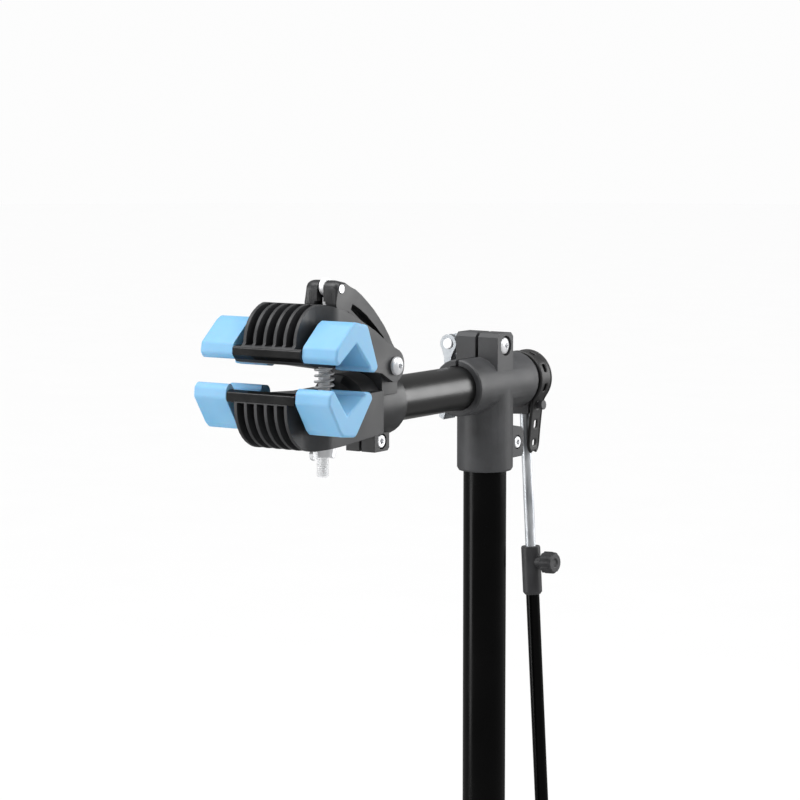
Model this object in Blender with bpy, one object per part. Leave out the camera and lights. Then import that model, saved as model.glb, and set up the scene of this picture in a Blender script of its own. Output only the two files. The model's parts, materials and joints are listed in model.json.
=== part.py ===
"""Folding bike repair stand with a rotating clamp head, in metres, +Z up.

The origin is on the floor under the mast axis.  The arm points along -Y to the clamp head,
and the jaws and the clamped bike tube run along X.  The head, the T and the handlebar holder
are built in the head frame, whose origin is where the arm axis crosses the mast axis.
"""
import math

import bmesh
import bpy
from mathutils import Matrix, Vector

MM = 0.001
GAP = 0.3 * MM
SIDES = 24
LEG_SIDES = 16
SMALL_SIDES = 16
SMOOTH_ANGLE = math.radians(35)

# Height of the arm axis above the floor, and the tubes.
ARM_Z = 1350 * MM
HEAD = Vector((0, 0, ARM_Z))
ARM_R = 16 * MM
ARM_BORE_R = 14 * MM
ARM_FRONT_Y = -186 * MM
ARM_REAR_Y = 61 * MM
SLEEVE_BORE_R = 16.4 * MM
UPPER_MAST_BOTTOM = 430 * MM
UPPER_MAST_TOP = ARM_Z - 22 * MM
LOWER_MAST_R = 19 * MM
LOWER_MAST_BORE_R = 16.6 * MM
LOWER_MAST_BOTTOM = 35 * MM
LOWER_MAST_TOP = 780 * MM

# Folding base: four legs on the diagonals, hinged on a sliding collar and held by struts.
LEG_COUNT = 4
FIRST_LEG_ANGLE = math.radians(45)
LEG_SPREAD = math.radians(62)
LEG_LENGTH = 560 * MM
LEG_R = 11 * MM
LEG_BORE_R = 9.5 * MM
FOOT_RISE = 18 * MM
HINGE_R = 38 * MM
STRUT_LENGTH = 220 * MM
COLLAR_HINGE_Z = FOOT_RISE + LEG_LENGTH * math.cos(LEG_SPREAD)
HUB_HINGE_Z = COLLAR_HINGE_Z - 2 * STRUT_LENGTH * math.cos(LEG_SPREAD)
EAR_GAP = 11.6 * MM
EAR_OUT = 15.5 * MM

# Clamp head: hinge of the upper jaw, cam pin on top of the clamp rod, lean of the rod.
JAW_HINGE = Vector((0, -162 * MM, 28 * MM))
CAM_PIN = Vector((0, -205.2 * MM, 82.5 * MM))
ROD_LEAN = math.radians(1.9)
ROD_R = 4.2 * MM
ROD_LENGTH = 128 * MM
ROD_EYE_HALF = 2.2 * MM
SPRING_SEAT_R = 8.4 * MM
SPRING_LOW = -75 * MM
SPRING_HIGH = -52.5 * MM
WALL_X = 27.5 * MM
WALL_T = 4 * MM
LOWER_NOSE = (-251 * MM, 7 * MM)
LOWER_NOSE_R = 29 * MM
UPPER_NOSE = (-243.5 * MM, 48.6 * MM)
UPPER_NOSE_R = 26 * MM
FIN_COUNT = 6
FIN_T = 2.4 * MM
FIN_HALF = 21.5 * MM
GAP_FLOOR_Y = -243 * MM

# Rubber pads: block section across the clamped tube.
PAD_INNER_X = 28.2 * MM
PAD_OUTER_X = 55.5 * MM
PEG_INNER_X = 20 * MM
PEG_OUTER_X = 46 * MM
PEG_HALF = 5 * MM
PEG_MID = 22.5 * MM
PAD_HALF_DEPTH = 25 * MM
PAD_HEIGHT = 30 * MM
PAD_BACK_HALF = 7 * MM
GROOVE_FRONT = -20 * MM
GROOVE_MID = -3.5 * MM
GROOVE_REAR = 14.3 * MM
GROOVE_STEP = 3 * MM
GROOVE_DEPTH = 16 * MM
UPPER_PAD_CENTRE = Vector((0, -248.6 * MM, 34.2 * MM))
UPPER_PAD_TILT = math.radians(11)
LOWER_PAD_CENTRE = Vector((0, -254.2 * MM, 20 * MM))
LOWER_PAD_TILT = math.radians(6)

# Handlebar holder, hung behind the T with a slight lean about the arm axis.
BAR_Y = 55 * MM
BAR_LEAN = math.radians(3.2)
STRAP_HALF_WIDTH = 8 * MM
STRAP_T = 2.2 * MM
STRAP_SEAT_R = 18.3 * MM
SADDLE_HALF_X = 7.8 * MM
SADDLE_HEIGHT = 8.7 * MM
STRAP_PEG_DROP = 2.5 * MM

FINISHES = {
    "gloss_black": ((0.012, 0.012, 0.013), 0.16, 0.0),
    "dark_plastic": ((0.055, 0.058, 0.06), 0.55, 0.0),
    "black_plastic": ((0.018, 0.018, 0.02), 0.45, 0.0),
    "blue_rubber": ((0.26, 0.56, 0.83), 0.55, 0.0),
    "black_rubber": ((0.03, 0.03, 0.032), 0.7, 0.0),
    "zinc": ((0.72, 0.73, 0.75), 0.3, 1.0),
    "grey_metal": ((0.42, 0.45, 0.47), 0.4, 0.8),
}


# ---------------------------------------------------------------- mesh helpers

def remove_scene_objects():
    for old in list(bpy.data.objects):
        bpy.data.objects.remove(old, do_unlink=True)


def object_from(bm, name="shape"):
    """Make a scene object from a bmesh whose faces are turned outward."""
    bmesh.ops.recalc_face_normals(bm, faces=bm.faces)
    mesh = bpy.data.meshes.new(name)
    bm.to_mesh(mesh)
    bm.free()
    obj = bpy.data.objects.new(name, mesh)
    bpy.context.collection.objects.link(obj)
    return obj


def prism(outline, axis, low, high):
    """Extrude a closed outline along an axis.  The outline is (Y, Z), (X, Z) or (X, Y)."""
    bm = bmesh.new()
    place = {
        "X": lambda a, b: (low, a, b),
        "Y": lambda a, b: (a, low, b),
        "Z": lambda a, b: (a, b, low),
    }[axis]
    step = {"X": (high - low, 0, 0), "Y": (0, high - low, 0), "Z": (0, 0, high - low)}[axis]
    face = bm.faces.new([bm.verts.new(place(a, b)) for a, b in outline])
    grown = bmesh.ops.extrude_face_region(bm, geom=[face])
    moved = [item for item in grown["geom"] if isinstance(item, bmesh.types.BMVert)]
    bmesh.ops.translate(bm, verts=moved, vec=step)
    return object_from(bm)


def box(x0, x1, y0, y1, z0, z1):
    return prism([(x0, y0), (x1, y0), (x1, y1), (x0, y1)], "Z", z0, z1)


def turned(profile, sides=SIDES, start=(0, 0, 0), direction=(0, 0, 1)):
    """Spin a (radius, height) profile about the line that leaves start along direction.

    A profile whose ends are on the axis is left open there, any other is closed.
    """
    bm = bmesh.new()
    verts = [bm.verts.new((radius, 0, height)) for radius, height in profile]
    edges = [bm.edges.new(pair) for pair in zip(verts, verts[1:])]
    if profile[0][0] > 0:
        edges.append(bm.edges.new((verts[-1], verts[0])))
    bmesh.ops.spin(bm, geom=verts + edges, cent=(0, 0, 0), axis=(0, 0, 1), dvec=(0, 0, 0),
                   angle=math.tau, steps=sides, use_duplicate=False)
    bmesh.ops.remove_doubles(bm, verts=bm.verts, dist=1e-6)
    turn = Vector((0, 0, 1)).rotation_difference(Vector(direction)).to_matrix().to_4x4()
    bmesh.ops.transform(bm, matrix=Matrix.Translation(start) @ turn, verts=bm.verts)
    return object_from(bm)


def cylinder(radius, start, end, sides=SIDES):
    start = Vector(start)
    line = Vector(end) - start
    profile = [(0, 0), (radius, 0), (radius, line.length), (0, line.length)]
    return turned(profile, sides, start, line.normalized())


def pipe(outer, inner, low, high, start=(0, 0, 0), direction=(0, 0, 1), sides=SIDES):
    profile = [(inner, low), (outer, low), (outer, high), (inner, high)]
    return turned(profile, sides, start, direction)


def boolean(target, tools, operation):
    """Join the tools to the target, or cut them out of it, and drop the tools."""
    for tool in tools:
        modifier = target.modifiers.new("boolean", "BOOLEAN")
        modifier.operation = operation
        modifier.object = tool
        graph = bpy.context.evaluated_depsgraph_get()
        mesh = bpy.data.meshes.new_from_object(target.evaluated_get(graph))
        target.modifiers.clear()
        target.data = mesh
        bpy.data.objects.remove(tool, do_unlink=True)
    return target


def join(target, *tools):
    return boolean(target, tools, "UNION")


def cut(target, *tools):
    return boolean(target, tools, "DIFFERENCE")


def arc(centre, radius, first, last, steps):
    """Points on a circle between two angles in degrees, both ends included."""
    turns = [math.radians(first + (last - first) * i / steps) for i in range(steps + 1)]
    return [(centre[0] + radius * math.cos(t), centre[1] + radius * math.sin(t)) for t in turns]


def transformed(obj, matrix):
    obj.data.transform(matrix)
    return obj


def turned_about(point, angle, axis):
    """Matrix that turns by an angle about an axis through a point."""
    return Matrix.Translation(point) @ Matrix.Rotation(angle, 4, axis) @ Matrix.Translation(-Vector(point))


def material_for(name, finish):
    colour, roughness, metallic = FINISHES[finish]
    material = bpy.data.materials.new("mat_" + name)
    material.use_nodes = True
    shader = material.node_tree.nodes["Principled BSDF"]
    shader.inputs["Base Color"].default_value = (*colour, 1.0)
    shader.inputs["Roughness"].default_value = roughness
    shader.inputs["Metallic"].default_value = metallic
    return material


def finish_node(obj, name, finish, origin=(0, 0, 0), frame=(0, 0, 0)):
    """Name a finished piece, put its origin on its joint and give it its own material.

    The origin is in the frame that the piece was built in.
    """
    obj.data.transform(Matrix.Translation(-Vector(origin)))
    obj.location = Vector(frame) + Vector(origin)
    obj.name = name
    obj.data.name = name
    obj.data.shade_smooth()
    obj.data.set_sharp_from_angle(angle=SMOOTH_ANGLE)
    obj.data.materials.clear()
    obj.data.materials.append(material_for(name, finish))
    return obj


# ---------------------------------------------------------------- folding base

def leg_matrix(index):
    """Turn a piece built in the XZ plane onto the index-th diagonal."""
    return Matrix.Rotation(FIRST_LEG_ANGLE + index * math.tau / LEG_COUNT, 4, "Z")


def lug(hinge_z, low_y, high_y, half_height):
    """Radial ear from the sleeve out to a hinge, with a round end."""
    inner = 21 * MM
    outline = [(inner, hinge_z - half_height)]
    outline += arc((HINGE_R, hinge_z), half_height, -90, 90, 6)
    outline.append((inner, hinge_z + half_height))
    return prism(outline, "Y", low_y, high_y)


def build_base_hub():
    hub = turned([(0, 22 * MM), (22 * MM, 22 * MM), (27 * MM, 27 * MM), (27 * MM, 92 * MM),
                  (24 * MM, 98 * MM), (LOWER_MAST_R + GAP, 98 * MM),
                  (LOWER_MAST_R + GAP, LOWER_MAST_BOTTOM - GAP), (0, LOWER_MAST_BOTTOM - GAP)])
    half_lug = EAR_GAP - 0.6 * MM
    for index in range(LEG_COUNT):
        ear = lug(HUB_HINGE_Z, -half_lug, half_lug, 9 * MM)
        transformed(ear, Matrix.Rotation(FIRST_LEG_ANGLE + index * math.tau / LEG_COUNT, 4, "Z"))
        join(hub, ear)
    finish_node(hub, "base_hub", "black_plastic")


def build_leg_collar():
    low = COLLAR_HINGE_Z - 16 * MM
    high = COLLAR_HINGE_Z + 46 * MM
    bore = LOWER_MAST_R + 0.4 * MM
    collar = turned([(bore, low), (24 * MM, low), (24.5 * MM, low + 2 * MM),
                     (24.5 * MM, high - 2 * MM), (23 * MM, high), (bore, high)])
    for index in range(LEG_COUNT):
        for side in (-1, 1):
            ear = lug(COLLAR_HINGE_Z, min(side * EAR_GAP, side * EAR_OUT),
                      max(side * EAR_GAP, side * EAR_OUT), 9.5 * MM)
            join(collar, transformed(ear, leg_matrix(index)))
    boss_z = COLLAR_HINGE_Z + 30 * MM
    join(collar, cylinder(8.5 * MM, (21 * MM, 0, boss_z), (35 * MM, 0, boss_z), SMALL_SIDES))
    cut(collar, cylinder(4.4 * MM, (18 * MM, 0, boss_z), (40 * MM, 0, boss_z), SMALL_SIDES))
    finish_node(collar, "leg_collar", "black_plastic", (0, 0, COLLAR_HINGE_Z))
    knob = star_knob(4 * MM, 15 * MM, 16 * MM)
    stud_start = LOWER_MAST_R + 0.5 * MM
    transformed(knob, Matrix.Translation((stud_start, 0, boss_z)) @ Matrix.Rotation(math.pi / 2, 4, "Y"))
    finish_node(knob, "leg_collar_knob", "black_plastic", (stud_start, 0, boss_z))


def star_knob(stud_r, stud_length, knob_r):
    """Stud along +Z that ends in a fluted knob."""
    knob = turned([(0, 0), (stud_r, 0), (stud_r, stud_length + 1 * MM), (7 * MM, stud_length + 1 * MM),
                   (knob_r, stud_length + 5 * MM), (knob_r, stud_length + 15 * MM),
                   (knob_r - 3 * MM, stud_length + 18 * MM), (0, stud_length + 18 * MM)], SMALL_SIDES)
    flutes = 6
    for index in range(flutes):
        angle = math.tau * index / flutes
        x = (knob_r + 2 * MM) * math.cos(angle)
        y = (knob_r + 2 * MM) * math.sin(angle)
        cut(knob, cylinder(4.5 * MM, (x, y, stud_length), (x, y, stud_length + 25 * MM), 12))
    return knob


def build_leg(index):
    hinge = Vector((HINGE_R, 0, COLLAR_HINGE_Z))
    along = Vector((math.sin(LEG_SPREAD), 0, -math.cos(LEG_SPREAD)))
    leg = pipe(LEG_R, LEG_BORE_R, 6 * MM, LEG_LENGTH - 6 * MM, hinge, along, LEG_SIDES)
    half = Vector((0, LEG_R, 0))
    join(leg, cylinder(LEG_R, hinge - half, hinge + half, LEG_SIDES))
    number = str(index + 1)
    transformed(leg, leg_matrix(index))
    finish_node(leg, "leg_" + number, "gloss_black", leg_matrix(index) @ hinge)
    build_foot(index, hinge, along)
    build_strut(index, hinge, along)


def build_foot(index, hinge, along):
    sleeve_r = 14 * MM
    mouth = LEG_LENGTH - 46 * MM
    floor_of_bore = LEG_LENGTH - 6 * MM + GAP
    profile = [(0, LEG_LENGTH + 3 * MM), (sleeve_r - 3 * MM, LEG_LENGTH + 3 * MM), (sleeve_r, LEG_LENGTH),
               (sleeve_r, mouth), (LEG_R + GAP, mouth), (LEG_R + GAP, floor_of_bore), (0, floor_of_bore)]
    foot = turned(profile, LEG_SIDES, hinge, along)
    pad_x = hinge.x + LEG_LENGTH * along.x
    pad = turned([(0, 0), (15 * MM, 0), (17 * MM, 2 * MM), (17 * MM, 6 * MM), (12 * MM, 11 * MM),
                  (0, 11 * MM)], LEG_SIDES, (pad_x, 0, 0))
    bore_start = hinge + along * (mouth - 10 * MM)
    bore = cylinder(LEG_R + GAP, bore_start, hinge + along * floor_of_bore, LEG_SIDES)
    join(foot, pad)
    cut(foot, bore)
    transformed(foot, leg_matrix(index))
    finish_node(foot, "foot_" + str(index + 1), "black_rubber", leg_matrix(index) @ hinge)


def build_strut(index, hinge, along):
    """Channel strut from its hinge on the leg down to the hub lug, built along +X first."""
    inner = EAR_GAP
    outer = EAR_GAP + 2.4 * MM
    half = 8.5 * MM
    plate = [*arc((0, 0), half, 90, 270, 6), *arc((STRUT_LENGTH, 0), half, -90, 90, 6)]
    strut = prism(plate, "Y", inner, outer)
    join(strut, box(52 * MM, 150 * MM, -outer + 1 * MM, outer - 1 * MM, half - 2.4 * MM, half - 0.01 * MM))
    join(strut, prism(plate, "Y", -outer, -inner))
    for x in (0, STRUT_LENGTH):
        for side in (-1, 1):
            face = side * (outer - 0.5 * MM)
            tip = side * (outer + 2 * MM)
            join(strut, cylinder(5.5 * MM, (x, face, 0), (x, tip, 0), 10))
    pivot = hinge + along * STRUT_LENGTH
    toward_hub = Vector((HINGE_R, 0, HUB_HINGE_Z)) - pivot
    angle = math.atan2(toward_hub.x, toward_hub.z) - math.pi / 2
    transformed(strut, Matrix.Translation(pivot) @ Matrix.Rotation(angle, 4, "Y"))
    transformed(strut, leg_matrix(index))
    finish_node(strut, "strut_" + str(index + 1), "gloss_black", leg_matrix(index) @ pivot)


# ---------------------------------------------------------------- mast

def build_masts():
    finish_node(pipe(LOWER_MAST_R, LOWER_MAST_BORE_R, LOWER_MAST_BOTTOM, LOWER_MAST_TOP),
                "lower_mast", "gloss_black")
    finish_node(pipe(ARM_R, ARM_R - 1.6 * MM, UPPER_MAST_BOTTOM, UPPER_MAST_TOP),
                "upper_mast", "gloss_black")
    bushing = turned([(9 * MM, UPPER_MAST_BOTTOM - 16 * MM), (ARM_R, UPPER_MAST_BOTTOM - 16 * MM),
                      (ARM_R, UPPER_MAST_BOTTOM - GAP), (13.9 * MM, UPPER_MAST_BOTTOM - GAP),
                      (13.9 * MM, UPPER_MAST_BOTTOM + 24 * MM), (9 * MM, UPPER_MAST_BOTTOM + 24 * MM)])
    finish_node(bushing, "mast_bushing", "black_plastic")


def build_mast_collar():
    """Clamp on the lower mast that pinches the upper mast, with its ears at the front."""
    low = -45 * MM
    high = 22 * MM
    step = GAP
    frame = Vector((0, 0, LOWER_MAST_TOP))
    bolt_y = -33 * MM
    bolt_z = -2 * MM
    collar = turned([(LOWER_MAST_R + GAP, low), (23 * MM, low), (24 * MM, low + 2 * MM),
                     (24 * MM, high - 3 * MM), (22 * MM, high), (SLEEVE_BORE_R, high),
                     (SLEEVE_BORE_R, step), (LOWER_MAST_R + GAP, step)])
    ears = [(-41 * MM, bolt_z - 14 * MM), (-18.5 * MM, bolt_z - 22 * MM), (-18.5 * MM, bolt_z + 14 * MM),
            (-41 * MM, bolt_z + 14 * MM)]
    ears_solid = prism(ears, "X", -14 * MM, 14 * MM)
    cut(ears_solid, cylinder(LOWER_MAST_R + 2 * MM, (0, 0, low - 20 * MM), (0, 0, high + 20 * MM)))
    join(collar, ears_solid)
    cut(collar, box(-1.5 * MM, 1.5 * MM, -60 * MM, -10 * MM, low - 10 * MM, high + 10 * MM))
    cut(collar, cylinder(3.4 * MM, (-30 * MM, bolt_y, bolt_z), (30 * MM, bolt_y, bolt_z), SMALL_SIDES))
    finish_node(collar, "mast_collar", "black_plastic", frame=frame)
    build_cam_bolt("mast", Vector((0, bolt_y, bolt_z)), 1, 14 * MM, 14 * MM, frame)


def build_cam_bolt(prefix, centre, side, ear_x, seat_x, frame):
    """Cross bolt along X with a head on one side and an eye, pin and cam lever on the other."""
    cam_x = side * (ear_x + 9.5 * MM)
    pin_at = centre + Vector((cam_x, 0, 0))
    eye_r = 5.2 * MM
    eye_half = 3.2 * MM
    bolt = domed_bolt(3 * MM, abs(cam_x) + seat_x + GAP, 6.3 * MM, 4 * MM, pin_at, (-side, 0, 0))
    join(bolt, cylinder(eye_r, pin_at - Vector((0, eye_half, 0)), pin_at + Vector((0, eye_half, 0)),
                        SMALL_SIDES))
    cut(bolt, cylinder(2.6 * MM, pin_at - Vector((0, 9 * MM, 0)), pin_at + Vector((0, 9 * MM, 0)), 16))
    finish_node(bolt, prefix + "_bolt", "zinc", frame=frame)
    pin = cylinder(2.2 * MM, pin_at - Vector((0, 8.8 * MM, 0)), pin_at + Vector((0, 8.8 * MM, 0)), 16)
    finish_node(pin, prefix + "_cam_pin", "zinc", pin_at, frame)
    lever = cam_bolt_lever(side)
    transformed(lever, Matrix.Translation(pin_at))
    finish_node(lever, prefix + "_lever", "grey_metal", pin_at, frame)


def cam_bolt_lever(side):
    """Forked cam with a curved handle that hangs down, its pin on the origin along Y."""
    cam_r = 7 * MM
    half = 8 * MM
    outline = [*arc((0, 0), cam_r, 225, -40, 12),
               (3.6 * MM, -10 * MM), (3.5 * MM, -24 * MM), (4.2 * MM, -42 * MM), (8 * MM, -55 * MM),
               (4 * MM, -57 * MM), (-0.8 * MM, -42 * MM), (-1.8 * MM, -24 * MM), (-2.6 * MM, -10 * MM)]
    outline = [(side * x, z) for x, z in outline]
    lever = prism(outline, "Y", -half, half)
    slot = 3.5 * MM
    cut(lever, box(-12 * MM, 12 * MM, -slot, slot, -9 * MM, 12 * MM))
    cut(lever, cylinder(2.5 * MM, (0, -12 * MM, 0), (0, 12 * MM, 0), 16))
    return lever


def domed_bolt(shank_r, length, head_r, head_height, start, direction):
    """Round bolt whose shank leaves start along direction and ends in a domed head."""
    profile = [(0, 0), (shank_r, 0), (shank_r, length), (head_r, length)]
    profile.append((head_r, length + head_height * 0.45))
    profile += [(head_r * math.cos(t), length + head_height * (0.45 + 0.55 * math.sin(t)))
                for t in (math.radians(30), math.radians(60))]
    profile.append((0, length + head_height))
    return turned(profile, SMALL_SIDES, start, direction)


def hex_nut(corner_r, shank_r, height, start, direction):
    """Six-sided nut with running clearance round a shank."""
    nut = turned([(0, 0), (corner_r, 0), (corner_r, height), (0, height)], 6, start, direction)
    line = Vector(direction)
    bore_start = Vector(start) - line * height
    return cut(nut, cylinder(shank_r + 0.2 * MM, bore_start, bore_start + line * 3 * height, SMALL_SIDES))


def stepped_hole(centre, shank_r, seat_x, left_r, right_r):
    """Cutter along X for a screw hole with a counterbore outside seat_x on either side."""
    reach = 45 * MM
    return turned([(0, -reach), (left_r, -reach), (left_r, -seat_x), (shank_r, -seat_x), (shank_r, seat_x),
                   (right_r, seat_x), (right_r, reach), (0, reach)], SMALL_SIDES, centre, (1, 0, 0))


# ---------------------------------------------------------------- T body and arm

def build_tee():
    """Upper pinch sleeve along Y around the arm, lower pinch sleeve around the mast."""
    sleeve_r = 21 * MM
    seat_end = ARM_REAR_Y + 3 * MM
    tee = turned([(0, -39 * MM), (sleeve_r - 1 * MM, -39 * MM), (sleeve_r, -38 * MM), (sleeve_r, 42 * MM),
                  (sleeve_r - 1 * MM, 43.5 * MM), (STRAP_SEAT_R, 43.5 * MM), (STRAP_SEAT_R, seat_end),
                  (0, seat_end)], SIDES, (0, 0, 0), (0, 1, 0))
    post_r = 20.8 * MM
    post = turned([(0, -64 * MM), (post_r - 1.2 * MM, -64 * MM), (post_r, -62 * MM),
                   (post_r, -1 * MM), (0, -1 * MM)])
    half_ear = 18 * MM
    ear_top = 38.6 * MM
    ear = [(-12 * MM, 8 * MM), (10 * MM, 8 * MM), (10 * MM, ear_top - 3 * MM),
           (7 * MM, ear_top), (-9 * MM, ear_top), (-12 * MM, ear_top - 3 * MM)]
    lower_ear = [(14 * MM, -57 * MM), (36 * MM, -57 * MM), (38 * MM, -54 * MM),
                 (38 * MM, -38 * MM), (36 * MM, -35 * MM), (14 * MM, -31 * MM)]
    join(tee, post, prism(ear, "X", -half_ear, half_ear), prism(lower_ear, "X", -10.5 * MM, 10.5 * MM))
    bolt_z = 29 * MM
    pinch = Vector((0, 29.5 * MM, -46 * MM))
    half_slit = 1.2 * MM
    cut(tee,
        cylinder(SLEEVE_BORE_R, (0, -60 * MM, 0), (0, 90 * MM, 0)),
        cylinder(SLEEVE_BORE_R, (0, 0, -90 * MM), (0, 0, -20.5 * MM)),
        box(-half_slit, half_slit, -60 * MM, 20 * MM, 6 * MM, 60 * MM),
        box(-half_slit, half_slit, 8 * MM, 60 * MM, -90 * MM, -27 * MM),
        stepped_hole((0, 0, bolt_z), 3.4 * MM, half_ear - 4 * MM, 3.4 * MM, 7.4 * MM),
        stepped_hole(pinch, 3 * MM, 7.5 * MM, 5.6 * MM, 5.2 * MM))
    finish_node(tee, "tee_body", "dark_plastic", frame=HEAD)
    build_cam_bolt("tee", Vector((0, 0, bolt_z)), -1, half_ear, half_ear - 4 * MM, HEAD)
    build_screw("pinch_screw", "pinch_nut", pinch, 7.8 * MM, 4.4 * MM)


def build_screw(screw_name, nut_name, centre, seat_x, head_r):
    """Cross screw along X with a socket head at +X and a nut at -X, both seated at seat_x."""
    shank_r = 2.5 * MM
    far_x = seat_x + 3.5 * MM
    screw = turned([(0, -far_x), (shank_r, -far_x), (shank_r, seat_x), (head_r, seat_x),
                    (head_r, seat_x + 2.6 * MM), (head_r - 0.5 * MM, seat_x + 3.1 * MM),
                    (0, seat_x + 3.1 * MM)], SMALL_SIDES, centre, (1, 0, 0))
    socket = turned([(0, seat_x + 1.2 * MM), (2.2 * MM, seat_x + 1.2 * MM), (2.2 * MM, seat_x + 6 * MM),
                     (0, seat_x + 6 * MM)], 6, centre, (1, 0, 0))
    cut(screw, socket)
    finish_node(screw, screw_name, "zinc", frame=HEAD)
    nut = hex_nut(head_r + 0.4 * MM, shank_r, 3 * MM, centre - Vector((seat_x + GAP, 0, 0)), (-1, 0, 0))
    finish_node(nut, nut_name, "zinc", frame=HEAD)


def build_arm():
    arm = pipe(ARM_R, ARM_BORE_R, ARM_FRONT_Y, ARM_REAR_Y, (0, 0, 0), (0, 1, 0))
    finish_node(arm, "arm_tube", "gloss_black", frame=HEAD)
    plug = turned([(0, ARM_REAR_Y - 12 * MM), (ARM_BORE_R - GAP, ARM_REAR_Y - 12 * MM),
                   (ARM_BORE_R - GAP, ARM_REAR_Y + GAP), (ARM_R, ARM_REAR_Y + GAP),
                   (ARM_R, ARM_REAR_Y + 2.5 * MM), (ARM_R - 1.5 * MM, ARM_REAR_Y + 4 * MM),
                   (0, ARM_REAR_Y + 4 * MM)], SIDES, (0, 0, 0), (0, 1, 0))
    finish_node(plug, "arm_plug", "black_plastic", frame=HEAD)


# ---------------------------------------------------------------- clamp head

def fin_gaps(low_z, high_z):
    """Cutters for the open gaps between the upright fins of a jaw's nose."""
    pitch = (2 * FIN_HALF - FIN_T) / (FIN_COUNT - 1)
    cutters = []
    for index in range(FIN_COUNT - 1):
        left = -FIN_HALF + FIN_T + index * pitch
        cutters.append(box(left, left + pitch - FIN_T, -300 * MM, GAP_FLOOR_Y, low_z, high_z))
    return cutters


def nose_flanks(nose_y, low_z, high_z):
    """Cutters that make a jaw's nose narrower than its walls, with a curved flare behind it."""
    cutters = []
    for side in (-1, 1):
        flare = [(side * 40 * MM, -300 * MM), (side * FIN_HALF, -300 * MM)]
        for share in (0, 0.25, 0.5, 0.75, 1):
            x = FIN_HALF + (WALL_X + 0.1 * MM - FIN_HALF) * (1 - math.cos(math.pi * share)) / 2
            flare.append((side * x, nose_y + 28 * MM * share - 12 * MM))
        flare.append((side * 40 * MM, nose_y + 16 * MM))
        cutters.append(prism(flare, "Z", low_z, high_z))
    return cutters


def rod_axis_point(distance):
    """Point on the clamp rod's axis, measured down from the cam pin."""
    return CAM_PIN + distance * Vector((0, -math.sin(ROD_LEAN), -math.cos(ROD_LEAN)))


def build_lower_jaw():
    outline = [(-176 * MM, -17.5 * MM), (-176 * MM, 12 * MM), (-205 * MM, 11.5 * MM),
               (-262 * MM, 14.5 * MM), (-276.5 * MM, 18.7 * MM), (-280 * MM, 17 * MM)]
    outline += arc(LOWER_NOSE, LOWER_NOSE_R, 180, 270, 10)
    outline += [(-222 * MM, -20.8 * MM), (-190 * MM, -18.4 * MM)]
    jaw = prism(outline, "X", -WALL_X, WALL_X)
    cut(jaw, *nose_flanks(LOWER_NOSE[0], -60 * MM, 12.5 * MM))
    socket_r = 23.4 * MM
    join(jaw, turned([(0, -196 * MM), (socket_r - 5 * MM, -196 * MM), (socket_r, -191 * MM),
                      (socket_r, -140.5 * MM), (socket_r - 1.5 * MM, -139 * MM), (0, -139 * MM)],
                     32, (0, 0, 0), (0, 1, 0)))
    hinge = (JAW_HINGE.y, JAW_HINGE.z)
    block_r = 9.5 * MM
    hinge_block = [(hinge[0] - block_r, 8 * MM), *arc(hinge, block_r, 180, 0, 10)]
    hinge_block.append((hinge[0] + block_r, 8 * MM))
    inner_x = WALL_X - WALL_T - 0.5 * MM
    pinch_block = [(-164 * MM, -33 * MM), (-148 * MM, -33 * MM), (-146 * MM, -31 * MM),
                   (-146 * MM, -15 * MM), (-164 * MM, -15 * MM)]
    join(jaw, prism(hinge_block, "X", -inner_x, inner_x), prism(pinch_block, "X", -12 * MM, 12 * MM))
    for side in (-1, 1):
        join(jaw, pad_peg(LOWER_PAD_CENTRE, LOWER_PAD_TILT, side, -1))
    seat = rod_axis_point(103 * MM)
    slot = ROD_R + 0.8 * MM
    handle_room = [(-158 * MM, 24 * MM), (-152 * MM, 22.4 * MM), (-138 * MM, 17.8 * MM), (-138 * MM, 26 * MM),
                   (-158 * MM, 26 * MM)]
    pinch = Vector((0, -155 * MM, -26 * MM))
    spring_seat = cylinder(SPRING_SEAT_R, (0, 0, SPRING_LOW), (0, 0, SPRING_LOW + 25 * MM))
    cut(jaw, cylinder(SLEEVE_BORE_R, (0, ARM_FRONT_Y - GAP, 0), (0, -100 * MM, 0)))
    cut(jaw, *fin_gaps(-60 * MM, 10.5 * MM))
    cut(jaw, prism(handle_room, "X", -14.5 * MM, 14.5 * MM))
    cut(jaw,
        box(-slot, slot, seat.y - 12 * MM, seat.y + 17 * MM, -40 * MM, 40 * MM),
        cylinder(10.4 * MM, (-13 * MM, seat.y, seat.z), (13 * MM, seat.y, seat.z)),
        transformed(spring_seat, rod_matrix()),
        cylinder(3.5 * MM, (-40 * MM, *hinge), (40 * MM, *hinge), SMALL_SIDES),
        box(-1 * MM, 1 * MM, -172 * MM, -120 * MM, -50 * MM, -10 * MM),
        stepped_hole(pinch, 3 * MM, 8.5 * MM, 5.8 * MM, 5.6 * MM))
    finish_node(jaw, "lower_jaw", "dark_plastic", frame=HEAD)
    build_screw("socket_screw", "socket_nut", pinch, 8.8 * MM, 4.6 * MM)


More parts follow.
